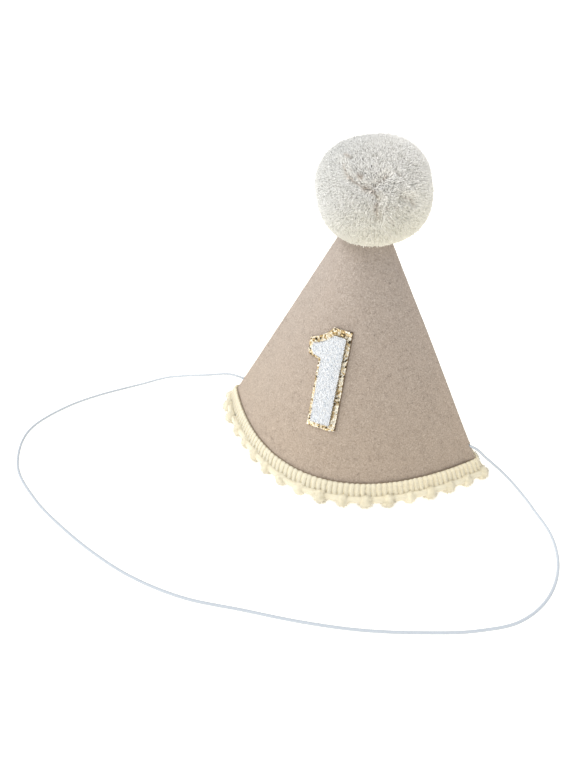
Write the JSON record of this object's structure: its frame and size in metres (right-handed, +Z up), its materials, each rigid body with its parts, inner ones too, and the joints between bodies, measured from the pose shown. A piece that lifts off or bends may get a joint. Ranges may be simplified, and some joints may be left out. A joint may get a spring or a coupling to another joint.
{
  "type": "party hat",
  "caption": "Small felt cone party hat, creased at its sides, with a pompom tip, a raised numeral patch, a ball-fringe rim trim and an elastic chin cord.",
  "frame": {"origin": "middle of the hat on the surface that it stands on", "axes": "+Z up towards the pompom, -Y towards the numeral in front, +X towards the crease on the viewer's right as one faces the numeral"},
  "size_m": [0.3284, 0.2151, 0.1872],
  "materials": {
    "felt": "taupe wool felt, matt, with a short fuzz",
    "pompom_yarn": "cream grey cut yarn, matt",
    "trim_yarn": "cream ribbed braid and little pompoms, matt",
    "gold_glitter": "gold glitter sheet, crinkled and sparkling",
    "white_chenille": "white looped chenille, matt",
    "elastic": "white round braided elastic, faint sheen"
  },
  "bodies": {
    "root": {"felt_cone": "felt", "pompom": "pompom_yarn", "pompom_trim": "trim_yarn", "patch_border": "gold_glitter", "patch_numeral": "white_chenille", "elastic_cord": "elastic", "knot_left": "elastic", "knot_right": "elastic"}
  },
  "joints": []
}
